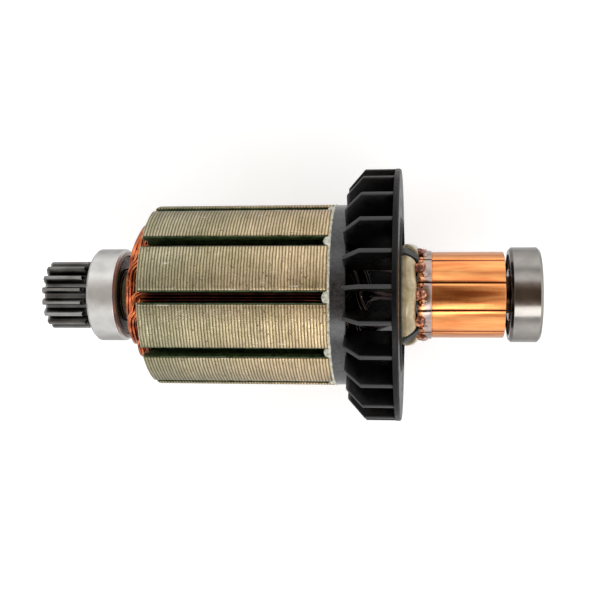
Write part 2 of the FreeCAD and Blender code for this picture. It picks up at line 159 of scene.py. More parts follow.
# Outline of the resin: share of its length and height above its outside
RESIN_PROFILE = (
    (0.0, -3.0), (0.0, -0.6), (0.12, -0.2), (0.3, 0.0), (0.45, 0.0), (0.6, -0.12), (0.72, -0.3), (0.83, -0.6),
    (0.91, -0.95), (0.97, -1.4), (1.0, -1.9), (1.0, -2.6),
)

# Pinion
TOOTH_COUNT = 16
MODULE = 0.9
PRESSURE_ANGLE = 20.0
PINION_PHASE = -8.8
TOOTH_CONE = 0.75
TOOTH_BEVEL = 0.3
FLANK_STEPS = 7
HUB_LENGTH = 1.7
HUB_RADIUS = 5.6

# Studio: pale walls under a dark ceiling, warm at its middle. Each stop has its degrees from straight above,
# the brightness at the left and at the right, and the share of the warmth.
STUDIO = (
    (0, 0.3, 0.2, 1), (13, 0.32, 0.17, 1), (27, 0.62, 0.5, 0.6), (38, 0.9, 1.65, 0), (50, 0.95, 1.45, 0),
    (62, 0.87, 0.85, 0), (78, 0.95, 1.6, 0), (95, 1.0, 1.6, 0), (130, 0.52, 0.8, 0),
)
LEFT_LEAN, RIGHT_LEAN = -0.33, 0.1
WARMTH = (0.1, 0.36)
BLUE_LOSS = 1.6
PANEL_AIM = (-50.0, 0.0, 0.0)
FLOOR_REACH = 1500.0
FLOOR_GLOW = 0.4

# Camera, fitted to the photograph: place, lean about Y in radians, lens and shift
CAMERA_PLACE = (-22.1, 0.0, 218.5)
CAMERA_LEAN = 0.104
CAMERA_LENS = 55.76
CAMERA_SHIFT = (-0.05, -0.00875)


def ends(node):
    """First and last station of a node along the shaft."""
    low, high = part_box(node)
    return low.x / MM, high.x / MM


def radius_of(node):
    """Largest distance of a node from the shaft's axis."""
    return max(math.hypot(v.co.y, v.co.z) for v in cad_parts[node].data.vertices) / MM


CORE_FRONT, CORE_REAR = ends("core_laminations")
CORE_RADIUS = radius_of("core_laminations")
SHEET_PITCH = (CORE_REAR - CORE_FRONT) / SHEET_COUNT
HALF_PITCH = math.radians(SLOT_PITCH / 2)
RISER_START, TRACK_END = ends("commutator_bar_1")
RISER_END = RISER_START + RISER_LENGTH
HUB_START = ends("commutator_moulding")[0]
COLLAR_START, DISC_FACE = ends("cooling_fan")
COLLAR_END = COLLAR_START + COLLAR_LENGTH
DISC_BACK = DISC_FACE - DISC_THICKNESS
BLADE_START = DISC_BACK - BLADE_LENGTH
FAN_RADIUS = radius_of("cooling_fan")
RIM_RADIUS = radius_of("front_bearing_front_shield") + 0.15
FRONT_CENTRE = sum(ends("front_bearing_outer_ring")) / 2
REAR_CENTRE = sum(ends("rear_bearing_outer_ring")) / 2


def at(x, radius, angle):
    """Point at a station, a radius and an angle about the shaft."""
    turn = math.radians(angle)
    return Vector((x, -radius * math.sin(turn), radius * math.cos(turn)))


def lumpy_turn():
    """Angles all round, each with the point where noise is read."""
    angles = [360.0 * i / LUMPY_SEGMENTS for i in range(LUMPY_SEGMENTS)]
    return [(angle, at(0, LUMP_RADIUS, angle)) for angle in angles]


def spin(angle):
    """Turn about the shaft."""
    return Matrix.Rotation(math.radians(angle), 3, "X")


def square_to(before, centre, after):
    """Directions sideways and away from the shaft, square to a path at its middle point."""
    along = (after - before).normalized()
    up = Vector((0, centre.y, centre.z))
    up = (up - along * up.dot(along)).normalized()
    return along.cross(up), up


def smooth(share):
    """Ease from 0 to 1."""
    share = min(1.0, max(0.0, share))
    return share * share * (3 - 2 * share)


def wave(x, y, z, size):
    """Smooth noise between -1 and 1 with features of a given size."""
    return noise.noise(Vector((x, y, z)) / size)


def link(name, data):
    """Put a new object into the scene."""
    thing = bpy.data.objects.new(name, data)
    bpy.context.scene.collection.objects.link(thing)
    return thing


class Form:
    """A mesh being built in millimetres, with a material number for each face."""

    def __init__(self):
        self.points = []
        self.faces = []
        self.paint = []

    def add(self, points, faces, paint=0):
        first = len(self.points)
        self.points += [Vector(point) for point in points]
        self.faces += [[first + i for i in face] for face in faces]
        self.paint += [paint] * len(faces)

    def grid(self, rows, loop=False, caps=False, paint=0):
        """Skin over equal closed rows. A loop joins the last row to the first."""
        width = len(rows[0])
        count = len(rows)
        faces = []
        for i in range(count if loop else count - 1):
            for j in range(width):
                k = (i + 1) % count
                n = (j + 1) % width
                faces.append([i * width + j, i * width + n, k * width + n, k * width + j])
        if caps:
            faces.append(list(range(width)))
            faces.append([(count - 1) * width + j for j in range(width)])
        self.add([point for row in rows for point in row], faces, paint)

    def lathe(self, profile, segments=RING_SEGMENTS, closed=True):
        """Revolve (x, radius) points about the shaft."""
        rows = [[at(x, radius, 360.0 * i / segments) for i in range(segments)] for x, radius in profile]
        self.grid(rows, loop=closed)

    def wire(self, path, radius, closed=False):
        """Round wire along a path, with narrower ends where it's open."""
        turns = [2 * math.pi * k / WIRE_SIDES for k in range(WIRE_SIDES)]
        count = len(path)
        rows = []
        for i, centre in enumerate(path):
            before = path[i - 1] if i or closed else path[0]
            after = path[(i + 1) % count] if i + 1 < count or closed else path[-1]
            side, up = square_to(before, centre, after)
            size = radius if closed or 0 < i < count - 1 else radius * WIRE_TIP
            rows.append([centre + (side * math.cos(t) + up * math.sin(t)) * size for t in turns])
        self.grid(rows, loop=closed, caps=not closed)

    def piece(self, name, body, node, slot, *materials, angle=SHARP_ANGLE):
        """Make the Blender object, which stands for a CAD node and rides on its body."""
        mesh = bpy.data.meshes.new(name)
        mesh.from_pydata([point * MM for point in self.points], [], self.faces)
        for material in materials:
            mesh.materials.append(material)
        mesh.polygons.foreach_set("material_index", self.paint)
        work = bmesh.new()
        work.from_mesh(mesh)
        bmesh.ops.remove_doubles(work, verts=work.verts, dist=WELD * MM)
        bmesh.ops.dissolve_degenerate(work, edges=work.edges, dist=WELD * MM)
        bmesh.ops.recalc_face_normals(work, faces=work.faces)
        work.to_mesh(mesh)
        work.free()
        mesh.shade_smooth()
        mesh.set_sharp_from_angle(angle=math.radians(angle))
        thing = link(name, mesh)
        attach(thing, body)
        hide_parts(node)


def rounded(profile, size, closed=True):
    """Round the corners of an (x, radius) outline and keep the straights flat.

    A third number is a corner's own size.
    """
    result = []
    count = len(profile)
    for i, corner in enumerate(profile):
        own = corner[2] if len(corner) > 2 else size
        here = Vector(corner[:2])
        if own == 0 or (not closed and i in (0, count - 1)):
            result.append(here.to_tuple())
            continue
        before = Vector(profile[i - 1][:2]) - here
        after = Vector(profile[(i + 1) % count][:2]) - here
        cut = min(own, before.length * 0.45, after.length * 0.45)
        start = here + before.normalized() * cut
        end = here + after.normalized() * cut
        result.append((here + before.normalized() * cut * 1.1).to_tuple())
        for step in range(CORNER_STEPS + 1):
            t = step / CORNER_STEPS
            result.append((start * (1 - t) ** 2 + here * 2 * t * (1 - t) + end * t * t).to_tuple())
        result.append((here + after.normalized() * cut * 1.1).to_tuple())
    return result


def turned(name, body, node, slot, finish, profile, rounding, closed=True):
    """Make a piece by revolving an outline about the shaft."""
    form = Form()
    form.lathe(rounded(profile, rounding, closed), closed=closed)
    form.piece(name, body, node, slot, finish)


def pipe(name, node, slot, finish, low, high, bore=CORE_BORE, rounding=0.2):
    """Make a pipe on the shaft."""
    outside = radius_of(node)
    section = [(low, bore), (low, outside), (high, outside), (high, bore)]
    turned(name, "rotor", node, slot, finish, section, rounding)


def mesh_parts(work):
    """Points and faces of a bmesh, which is then freed."""
    work.verts.index_update()
    points = [v.co.copy() for v in work.verts]
    faces = [[v.index for v in f.verts] for f in work.faces]
    work.free()
    return points, faces


def spline(knots, count, axis=None):
    """Points on a smooth curve through knots, paced by its length or by one coordinate."""
    gaps = [(b - a).length if axis is None else b[axis] - a[axis] for a, b in zip(knots, knots[1:])]
    times = [sum(gaps[:i]) for i in range(len(knots))]
    slopes = []
    for i in range(len(knots)):
        low = max(0, i - 1)
        high = min(len(knots) - 1, i + 1)
        slopes.append((knots[high] - knots[low]) / (times[high] - times[low]))
    points = []
    for step in range(count + 1):
        time = times[-1] * step / count
        i = min(len(gaps) - 1, sum(time >= t for t in times[1:]))
        t = (time - times[i]) / gaps[i]
        a, b = knots[i], knots[i + 1]
        rise, fall = slopes[i] * gaps[i], slopes[i + 1] * gaps[i]
        points.append(a * (2 * t ** 3 - 3 * t ** 2 + 1) + rise * (t ** 3 - 2 * t ** 2 + t)
                      + b * (3 * t ** 2 - 2 * t ** 3) + fall * (t ** 3 - t ** 2))
    return points


# Materials

class Nodes:
    """Short ways to add nodes to a tree."""

    def __init__(self, tree):
        self.nodes = tree.nodes
        self.links = tree.links

    def put(self, value, socket):
        if isinstance(value, bpy.types.NodeSocket):
            self.links.new(value, socket)
        else:
            socket.default_value = value

    def new(self, kind, *values, **settings):
        """Add a node with its settings, and with values for its first sockets."""
        node = self.nodes.new("ShaderNode" + kind)
        for name, setting in settings.items():
            setattr(node, name, setting)
        for value, socket in zip(values, node.inputs):
            self.put(value, socket)
        return node

    def math(self, operation, *values):
        return self.new("Math", *values, operation=operation).outputs[0]

    def between(self, value, low, high, start=0.35, end=0.65):
        """Map a value from start..end to low..high."""
        return self.new("MapRange", value, start, end, low, high).outputs[0]

    def ramp(self, value, *stops):
        """Colours at places from 0 to 1. A single number is a grey."""
        node = self.new("ValToRGB", value)
        elements = node.color_ramp.elements
        while len(elements) < len(stops):
            elements.new(0.5)
        for element, (place, colour) in zip(elements, stops):
            element.position = place
            element.color = (*(colour if isinstance(colour, tuple) else (colour,) * 3), 1.0)
        return node.outputs[0]

    def mix(self, share, one, two, blend="MIX"):
        node = self.new("Mix", share, data_type="RGBA", blend_type=blend)
        for value, socket in zip((one, two), node.inputs[6:8]):
            self.put((*value, 1.0) if isinstance(value, tuple) else value, socket)
        return node.outputs[2]


class Shader(Nodes):
    """Builds a procedural material from noise in object coordinates."""

    def __init__(self, name, metallic=0.0, coat=0.0, coat_roughness=0.1, specular=0.5):
        self.material = bpy.data.materials.new(name)
        self.material.use_nodes = True
        super().__init__(self.material.node_tree)
        self.out = self.nodes["Principled BSDF"].inputs
        for socket, value in (("Metallic", metallic), ("Coat Weight", coat),
                              ("Coat Roughness", coat_roughness), ("Specular IOR Level", specular)):
            self.out[socket].default_value = value
        self.place = self.new("TexCoord").outputs["Object"]

    def axis(self, index):
        """One object coordinate in millimetres."""
        return self.math("DIVIDE", self.new("SeparateXYZ", self.place).outputs[index], MM)

    def radius(self):
        """Distance from the shaft's axis in millimetres."""
        squares = [self.math("MULTIPLY", side, side) for side in (self.axis(1), self.axis(2))]
        return self.math("SQRT", self.math("ADD", *squares))

    def spots(self, size, stretch=(1, 1, 1), detail=3.0, distortion=0.0, shift=0.0):
        """Noise with features of a size, drawn out by a factor along each axis."""
        mapping = self.new("Mapping", self.place, (shift,) * 3, (0, 0, 0), [1 / factor for factor in stretch])
        texture = self.new("TexNoise", mapping.outputs[0])
        for socket, value in (("Scale", 1 / (size * MM)), ("Detail", detail), ("Distortion", distortion)):
            texture.inputs[socket].default_value = value
        return texture.outputs[0]

    def bump(self, height, depth):
        """Raise the surface by a height map with a depth in millimetres."""
        node = self.new("Bump")
        node.inputs["Distance"].default_value = depth * MM
        self.put(height, node.inputs["Height"])
        self.put(node.outputs[0], self.out["Normal"])

    def done(self, colour, roughness):
        self.put(colour, self.out["Base Color"])
        self.put(roughness, self.out["Roughness"])
        return self.material


def steel(name, dark, light, low, high, grain=0.004, metallic=1.0, shade_radius=0.0):
    """Bare steel with the fine marks of turning, darkened by a painted shade within a radius between the
    bearings.
    """
    net = Shader(name, metallic=metallic)
    marks = net.spots(1.6, (0.04, 1, 1), 2.0)
    blotches = net.spots(3.0, detail=4.0)
    colour = net.ramp(blotches, (0.35, dark), (0.65, light))
    # Painted shade: dark brown on faces within the radius, between the bearings' middles
    if shade_radius:
        middle, half = (REAR_CENTRE + FRONT_CENTRE) / 2, (REAR_CENTRE - FRONT_CENTRE) / 2
        along = net.math("ABSOLUTE", net.math("SUBTRACT", net.axis(0), middle))
        inside = net.math("MULTIPLY", net.between(along, 1.0, 0.0, half - 0.1, half + 0.1),
                          net.between(net.radius(), 1.0, 0.0, shade_radius - 0.1, shade_radius + 0.1))
        colour = net.mix(inside, colour, GAP_SHADE)
    net.bump(marks, grain)
    return net.done(colour, net.between(net.math("ADD", blotches, marks), low, high, 0.8, 1.2))


def gear_material():
    """Oiled steel, dark on the flanks and worn brighter on the crests and front bevels."""
    net = Shader("oiled_steel", metallic=1.0)
    blotches = net.spots(2.0, (3, 1, 1), 4.0)
    colour = net.ramp(blotches, (0.35, (0.055, 0.053, 0.05)), (0.65, (0.15, 0.145, 0.14)))
    tip, front = radius_of("pinion"), ends("pinion")[0]
    worn = net.math("MAXIMUM", net.between(net.radius(), 0.0, 1.0, tip - 0.45, tip - 0.1),
                    net.between(net.axis(0), 1.0, 0.0, front + 0.25, front + 0.6))
    crest = net.ramp(blotches, (0.35, (0.2, 0.195, 0.185)), (0.65, (0.36, 0.35, 0.335)))
    net.bump(net.spots(1.0, (6, 1, 1), 2.0), 0.01)
    return net.done(net.mix(worn, colour, crest), net.between(blotches, 0.14, 0.3))


def core_sheet_material():
    """Sheet edges under varnish: cream crests, olive brown grooves and small dark specks."""
    net = Shader("sheet_edges", metallic=0.9, coat=0.06, coat_roughness=0.35, specular=0.4)
    count = net.math("DIVIDE", net.math("SUBTRACT", net.axis(0), CORE_FRONT), SHEET_PITCH)
    sway = net.math("MULTIPLY", net.math("SUBTRACT", net.spots(2.4, (0.5, 1, 1)), 0.5), 0.5)
    phase = net.math("FRACT", net.math("ADD", count, sway))
    groove = net.math("MULTIPLY", net.math("ABSOLUTE", net.math("SUBTRACT", phase, 0.5)), 2.0)
    crest = net.ramp(groove, (0.25, (0.54, 0.49, 0.36)), (0.6, (0.34, 0.3, 0.19)),
                     (0.88, (0.14, 0.12, 0.065)))
    warm = net.ramp(groove, (0.25, (0.72, 0.58, 0.395)), (0.6, (0.48, 0.35, 0.2)),
                    (0.88, (0.2, 0.135, 0.07)))
    station = net.math("ADD", net.axis(0), net.math("MULTIPLY", net.spots(9.0), 16.0))
    share = net.between(station, 0.0, 1.0, CORE_REAR - 28.0, CORE_REAR + 2.0)
    colour = net.mix(share, crest, warm)
    tint = net.ramp(net.spots(7.0, (1.6, 1, 1), shift=0.3), (0.32, (0.74, 0.76, 0.68)), (0.62, 1.0))
    colour = net.mix(1.0, colour, tint, "MULTIPLY")
    each = net.ramp(net.spots(0.9, (0.75, 9, 9), 1.0), (0.3, (0.8, 0.8, 0.78)), (0.7, (1.06, 1.05, 1.0)))
    colour = net.mix(1.0, colour, each, "MULTIPLY")
    specks = net.between(net.spots(0.5, (1.4, 1, 1), 2.0, shift=0.7), 0.0, 0.85, 0.63, 0.72)
    colour = net.mix(specks, colour, (0.11, 0.085, 0.045))
    scuffs = net.between(net.spots(0.7, (6.0, 1.0, 1.0), 4.0, shift=0.2), 0.0, 0.55, 0.67, 0.75)
    colour = net.mix(scuffs, colour, (0.8, 0.78, 0.7))
    net.bump(net.spots(0.35), 0.06)
    return net.done(colour, net.between(net.spots(1.2), 0.3, 0.5))


def mottled(name, stops, size, roughness, depth=0.03, grain=0.5, specular=0.5):
    """Plain surface with soft colour patches and a fine grain."""
    net = Shader(name, specular=specular)
    colour = net.ramp(net.spots(size, detail=4.0), *stops)
    net.bump(net.spots(grain), depth)
    return net.done(colour, net.between(net.spots(size / 2), *roughness))


def fan_material():
    """Black plastic with a painted highlight along the blades' edges, and glossier on the collar."""
    net = Shader("fan_plastic", coat_roughness=0.22, specular=0.16)
    black = net.ramp(net.spots(4.0, detail=4.0), (0.3, 0.002), (0.7, 0.006))
    handled = net.ramp(net.spots(0.8, detail=4.0), (0.35, (0.004, 0.004, 0.005)),
                       (0.65, (0.032, 0.032, 0.033)))
    along = net.axis(0)
    collar = net.between(along, 1.0, 0.0, COLLAR_END - 0.4, COLLAR_END + 0.4)
    # Painted highlight: a paler line along the blades' outer edges and front ends, stopped at the disc
    rise = net.math("MULTIPLY", net.math("SUBTRACT", along, BLADE_START),
                    (FAN_RADIUS - BLADE_LOW_RADIUS) / BLADE_SLOPE)
    outline = net.math("MINIMUM", net.math("ADD", rise, BLADE_LOW_RADIUS), FAN_RADIUS)
    inset = net.math("SUBTRACT", outline, net.radius())
    edges = net.math("MAXIMUM", net.between(inset, 1.0, 0.0, 0.25, 0.45),
                     net.between(along, 1.0, 0.0, BLADE_START + 0.2, BLADE_START + 0.4))
    edges = net.math("MULTIPLY", edges, net.between(along, 1.0, 0.0, DISC_BACK - 0.3, DISC_BACK))
    black = net.mix(edges, black, (0.05, 0.05, 0.052))
    net.put(collar, net.out["Coat Weight"])
    net.bump(net.spots(0.3), 0.04)
    return net.done(net.mix(collar, black, handled), net.between(net.spots(2.0), 0.26, 0.4))


def wire_material():
    """Copper wire under orange red enamel, with painted shade in the slots and a darker painted shade inside
    the fan, where painted glints show.
    """
    net = Shader("enamelled_wire", metallic=1.0, coat=0.3, coat_roughness=0.08)
    patches = net.spots(2.5)
    fresh = net.ramp(patches, (0.34, (0.15, 0.024, 0.01)), (0.5, (0.46, 0.1, 0.03)),
                     (0.68, (0.85, 0.27, 0.09)))
    # Painted shade for the wires in the slots
    shade_colour = net.ramp(patches, (0.36, (0.05, 0.011, 0.006)), (0.64, (0.15, 0.033, 0.013)))
    # Painted shade inside the fan: near-black, with painted glints at the noise's peaks
    dark = net.ramp(patches, (0.5, (0.006, 0.002, 0.001)), (0.66, (0.02, 0.007, 0.004)),
                    (0.7, (0.95, 0.36, 0.15)))
    # The painted shade starts just past the core's front and darkens further past the core's rear
    near = net.math("ADD", net.axis(0), net.math("MULTIPLY", patches, 5.0))
    inside = net.between(near, 0.0, 1.0, CORE_FRONT + 1.0, CORE_FRONT + 5.0)
    shade_colour = net.mix(net.between(near, 0.0, 1.0, CORE_REAR, CORE_REAR + 4.0), shade_colour, dark)
    net.bump(net.spots(0.9, detail=2.0), 0.03)
    return net.done(net.mix(inside, fresh, shade_colour), net.between(net.spots(1.3), 0.14, 0.3))


def bar_material():
    """Copper turned on a lathe, with fine rings and a brush-worn track."""
    net = Shader("turned_copper", metallic=1.0, coat=0.12, coat_roughness=0.15)
    rings = net.spots(1.4, (0.03, 1.5, 1.5), 2.0)
    patches = net.spots(1.2, (9.0, 1, 1), 3.0)
    bright = net.ramp(patches, (0.34, (0.62, 0.2, 0.062)), (0.62, (0.8, 0.34, 0.115)))
    riser = net.ramp(patches, (0.34, (0.28, 0.205, 0.18)), (0.62, (0.4, 0.31, 0.28)))
    sway = net.math("ADD", net.axis(0), net.math("MULTIPLY", net.spots(1.5, shift=0.4), 1.6))
    burnt = net.ramp(net.spots(1.1, shift=0.6), (0.4, (0.1, 0.025, 0.012)), (0.52, (0.85, 0.36, 0.15)))
    riser = net.mix(net.between(sway, 1.0, 0.0, RISER_START + 1.9, RISER_START + 2.5), riser, burnt)
    on_track = net.between(net.axis(0), 0.0, 1.0, RISER_END - 0.1, RISER_END + 0.1)
    colour = net.mix(on_track, riser, bright)
    net.bump(rings, 0.004)
    return net.done(colour, net.between(net.math("ADD", rings, patches), 0.13, 0.26, 0.8, 1.2))


def resin_material():
    """Glossy resin, clear olive over pale."""
    net = Shader("resin", coat=0.7, coat_roughness=0.08)
    patches = net.spots(2.2, distortion=0.8)
    colour = net.ramp(patches, (0.3, (0.3, 0.23, 0.11)), (0.5, (0.41, 0.325, 0.175)),
                      (0.72, (0.52, 0.43, 0.26)))
    net.bump(net.spots(1.6, detail=2.0), 0.06)
    return net.done(colour, net.between(net.spots(1.5), 0.12, 0.3))


def tang_material():
    """Fused tang: red brown with bright copper spots."""
    net = Shader("fused_tang", metallic=0.45, coat=0.25)
    patches = net.spots(0.9)
    colour = net.ramp(patches, (0.38, (0.07, 0.02, 0.012)), (0.52, (0.25, 0.07, 0.035)),
                      (0.66, (0.85, 0.36, 0.17)))
    net.bump(net.spots(0.4), 0.08)
    return net.done(colour, net.between(net.spots(0.6), 0.25, 0.5))


SHEET = core_sheet_material()
WIRE_ENAMEL = wire_material()
COPPER = bar_material()
TANG = tang_material()
RESIN = resin_material()
GREEN = mottled("sprayed_coat", ((0.32, (0.008, 0.02, 0.004)), (0.66, (0.035, 0.065, 0.015))),
                1.2, (0.35, 0.6), 0.05)
PLASTIC = fan_material()
MOULDING = mottled("moulding", ((0.3, (0.006, 0.005, 0.005)), (0.7, (0.014, 0.012, 0.012))),
                   2.0, (0.2, 0.36), 0.02)
# The spacer's near-black colour, darker than the moulding, is painted shade for the inside of the fan
MATT = mottled("matt_moulding", ((0.3, 0.003), (0.7, 0.006)), 2.0, (0.6, 0.8), 0.02, specular=0.15)
GLUE = mottled("dried_glue", ((0.3, (0.26, 0.26, 0.2)), (0.5, (0.5, 0.5, 0.42)), (0.7, (0.75, 0.75, 0.68))),
               0.7, (0.2, 0.5), 0.08, 0.4)
SLEEVE = mottled("sleeve", ((0.3, (0.07, 0.06, 0.025)), (0.7, (0.15, 0.135, 0.065))), 1.5, (0.4, 0.6))
SATIN = steel("satin_steel", (0.58, 0.565, 0.54), (0.68, 0.665, 0.64), 0.28, 0.36, 0.004, shade_radius=RIM_RADIUS)
POLISHED = steel("polished_steel", (0.225, 0.21, 0.195), (0.27, 0.255, 0.235), 0.12, 0.2, 0.002,
                 shade_radius=RIM_RADIUS)
GROUND = steel("ground_steel", (0.4, 0.4, 0.41), 0.6, 0.18, 0.32, 0.005, shade_radius=RIM_RADIUS)
CHROME = steel("ball_steel", (0.7, 0.7, 0.71), 0.8, 0.05, 0.09, 0.001)
GEAR = gear_material()
# The shields' dark brown is a painted reflection of the copper windings and the dark surroundings
SHIELD = steel("shield_steel", (0.03, 0.022, 0.017), (0.09, 0.068, 0.055), 0.2, 0.34, 0.008, metallic=0.9)
# Painted shade: a near-black, dull copy of the shield for the rear bearing's side that faces the commutator
SHADED_SHIELD = mottled("shield_in_painted_shade", ((0.3, (0.01, 0.009, 0.008)), (0.7, (0.022, 0.019, 0.017))),
                      3.0, (0.45, 0.65), 0.02, specular=0.2)
CAGE = mottled("cage_plastic", ((0.3, (0.05, 0.04, 0.03)), (0.7, (0.1, 0.08, 0.06))), 2.0, (0.4, 0.6))


# Bearings

def bearing(name, body, finish):
    """Rings and shields of one ball bearing, drawn finely."""
    outer, inner = name + "_bearing_outer_ring", name + "_bearing_inner_ring"
    low, high = ends(outer)
    outside, land = radius_of(outer), radius_of(inner)
    rim = radius_of(name + "_bearing_front_shield")
    front_face = ends(name + "_bearing_front_shield")[0]
    rear_face = ends(name + "_bearing_rear_shield")[1]
    depth = front_face - low + SHIELD_SHEET
    lip = rim - 0.5
    edge = BEARING_CHAMFER
    turned(name + "_outer_ring", body, outer, "bearing_steel", finish, [
        (low, rim), (low, outside - edge), (low + edge, outside), (high - edge, outside),
        (high, outside - edge), (high, rim), (high - depth, rim), (high - depth, lip),
        (low + depth, lip), (low + depth, rim),
    ], 0.06)
    edge = RING_BEVEL
    turned(name + "_inner_ring", "rotor", inner, "bearing_steel", finish, [
        (low, BEARING_BORE + edge), (low, land - edge), (low + edge, land), (high - edge, land),
        (high, land - edge), (high, BEARING_BORE + edge), (high - edge, BEARING_BORE),
        (low + edge, BEARING_BORE),
    ], 0.08)
    hole, sheet, step = land + 0.3, SHIELD_SHEET, SHIELD_STEP
    section = [(sheet, rim), (0, rim), (0, rim - 0.45), (0.1, rim - 0.6), (0.1, step + 0.45), (0, step + 0.3),
               (0, step + 0.15), (0.15, step - 0.05), (0.15, hole + 0.35), (0.05, hole + 0.2), (0.1, hole),
               (sheet + 0.15, hole), (sheet + 0.15, step - 0.3), (sheet, step)]
    for side, face, part in ((-1, front_face, "_front_shield"), (1, rear_face, "_rear_shield")):
        # The rear bearing's front shield is drawn in painted shade
        shield = SHADED_SHIELD if name + part == "rear_front_shield" else SHIELD
        turned(name + part, body, name + "_bearing" + part, "shield_steel", shield,
               [(face - side * back, radius) for back, radius in section], 0.06)


bearing("front", "front_ring", SATIN)
bearing("rear", "rear_ring", POLISHED)
for name in ("front", "rear"):
    for node, finish in (("_bearing_balls", CHROME), ("_bearing_cage", CAGE)):
        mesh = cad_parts[name + node].data
        mesh.materials.clear()
        mesh.materials.append(finish)


# Shaft, sleeve and pinion

def shaft():
    """Stepped shaft with a centre hole in each end, and the sleeve on it."""
    front, rear = ends("shaft")
    seat = ends("front_bearing_inner_ring")[1]
    rear_seat = ends("rear_bearing_inner_ring")[0]
    pinion_end = ends("pinion")[1]
    turned("steel_shaft", "rotor", "shaft", "shaft_steel", GROUND, [
        (front + 2.0, 0.0), (front + 0.9, 0.4), (front, CENTRE_HOLE), (front, PINION_BORE - 0.4),
        (front + 0.4, PINION_BORE), (pinion_end, PINION_BORE), (pinion_end, BEARING_BORE),
        (seat, BEARING_BORE), (seat, CORE_BORE), (HUB_START, CORE_BORE), (HUB_START, BUSH_BORE),
        (rear_seat, BUSH_BORE), (rear_seat, BEARING_BORE), (rear - 0.4, BEARING_BORE),
        (rear, BEARING_BORE - 0.4), (rear, CENTRE_HOLE), (rear - 0.9, 0.4), (rear - 2.0, 0.0),
    ], 0.08, closed=False)
    pipe("sleeve", "shaft_sleeve", "sleeve", SLEEVE, *ends("shaft_sleeve"))


def involute(angle):
    return math.tan(angle) - angle


def pinion():
    """Involute teeth with bevelled front ends and coned rear ends."""
    front, rear = ends("pinion")
    outside = radius_of("pinion")
    alpha = math.radians(PRESSURE_ANGLE)
    pitch_radius = MODULE * TOOTH_COUNT / 2
    base = pitch_radius * math.cos(alpha)
    root = pitch_radius - MODULE * 1.25

    def flank(radius):
        here = math.acos(min(1.0, base / radius))
        return math.degrees(math.pi / 2 / TOOTH_COUNT + involute(alpha) - involute(here))

    pitch = 360.0 / TOOTH_COUNT
    foot = flank(base)
    gap = pitch / 2 - foot
    half = [(root, foot + gap), (root, foot + gap * 0.4), (root + 0.08, foot)]
    for step in range(FLANK_STEPS + 1):
        radius = base + (outside - base) * step / FLANK_STEPS
        half.append((radius, flank(radius)))
    outline = []
    for i in range(TOOTH_COUNT):
        middle = i * pitch + PINION_PHASE
        outline += [(r, middle - a) for r, a in half] + [(outside, middle)]
        outline += [(r, middle + a) for r, a in reversed(half[1:])]
    bevel = TOOTH_BEVEL
    bevel_end = front + bevel
    teeth_rear = rear - HUB_LENGTH
    cone = teeth_rear - TOOTH_CONE
    stations = [(front, outside - bevel), (front + bevel * 0.3, outside - bevel * 0.55),
                (front + bevel * 0.65, outside - bevel * 0.2), (bevel_end, outside)]
    stations += [(bevel_end + (cone - bevel_end) * i / 6, outside) for i in range(1, 7)]
    stations += [(cone + TOOTH_CONE * i / 6, outside - (outside - root) * i / 6) for i in range(1, 7)]
    rows = [[at(x, min(r, limit), angle) for r, angle in outline] for x, limit in stations]
    bores = [[at(x, PINION_BORE, angle) for r, angle in outline] for x in (front, teeth_rear)]
    form = Form()
    form.grid([bores[0]] + rows + [bores[1]], loop=True)
    form.lathe(rounded([(teeth_rear - 0.2, PINION_BORE), (teeth_rear - 0.2, HUB_RADIUS - 0.4),
                        (teeth_rear, HUB_RADIUS), (rear, HUB_RADIUS), (rear, PINION_BORE)], 0.12))
    form.piece("toothed_pinion", "rotor", "pinion", "pinion_steel", GEAR, angle=26.0)


shaft()
pinion()


# Core and coat

def slot_wall(radius, inset):
    """Half width of a slot between parallel-sided teeth."""
    return radius * math.tan(HALF_PITCH) - (TOOTH_BODY / 2 + inset) / math.cos(HALF_PITCH)


def slot_path(inset, top, size):
    """Slot outline as (across, up), from its +across edge round the floor to its -across edge."""
    mouth = SLOT_OPENING / 2 - inset
    neck = CORE_RADIUS - TIP_THICKNESS
    shoulder = neck - TIP_TAPER - inset / 2
    floor = SLOT_FLOOR + inset
    edge = math.sqrt(top * top - mouth * mouth)
    half = [(mouth, edge), (mouth, neck - inset), (slot_wall(shoulder, inset), shoulder),
            (slot_wall(floor, inset), floor)]
    corners = half + [(0, floor - SLOT_ROUND, 0.4)] + [(-across, up) for across, up in reversed(half)]
    return rounded(corners, size, closed=False)


def turn(across, up, angle):
    """Slot point as (y, z), turned to its slot."""
    a = math.radians(angle)
    return (across * math.cos(a) - up * math.sin(a), across * math.sin(a) + up * math.cos(a))


def slotted_outline(inset, top, size):
    """Closed outline of the whole slotted section as (y, z)."""
    path = slot_path(inset, top, size)
    for end in (0, -1):
        path[end] = (path[end][0], path[end][1] - RIM_ROUND)
    start = math.degrees(math.asin((SLOT_OPENING / 2 - inset) / top) + RIM_ROUND / top)
    sweep = SLOT_PITCH - 2 * start
    outline = []
    for k in range(SLOT_COUNT):
        middle = SLOT_PHASE + k * SLOT_PITCH
        outline += [turn(across, up, middle) for across, up in path]
        outline += [at(0, top, middle + start + sweep * step / TOOTH_ARC_STEPS).yz
                    for step in range(TOOTH_ARC_STEPS + 1)]
    return outline


def bored(form, rows, front, rear, paint=0):
    """Skin of a swept outline with a round bore, closed at both ends."""
    turns = [360.0 * i / HOLE_SEGMENTS for i in range(HOLE_SEGMENTS)]
    rims = [[at(x, CORE_BORE, angle) for angle in turns] for x in (front, rear)]
    form.grid(rows, paint=paint)
    form.grid(rims)
    for row, rim in zip((rows[0], rows[-1]), rims):
        form.add(row + rim, tessellate_polygon([row, rim]))


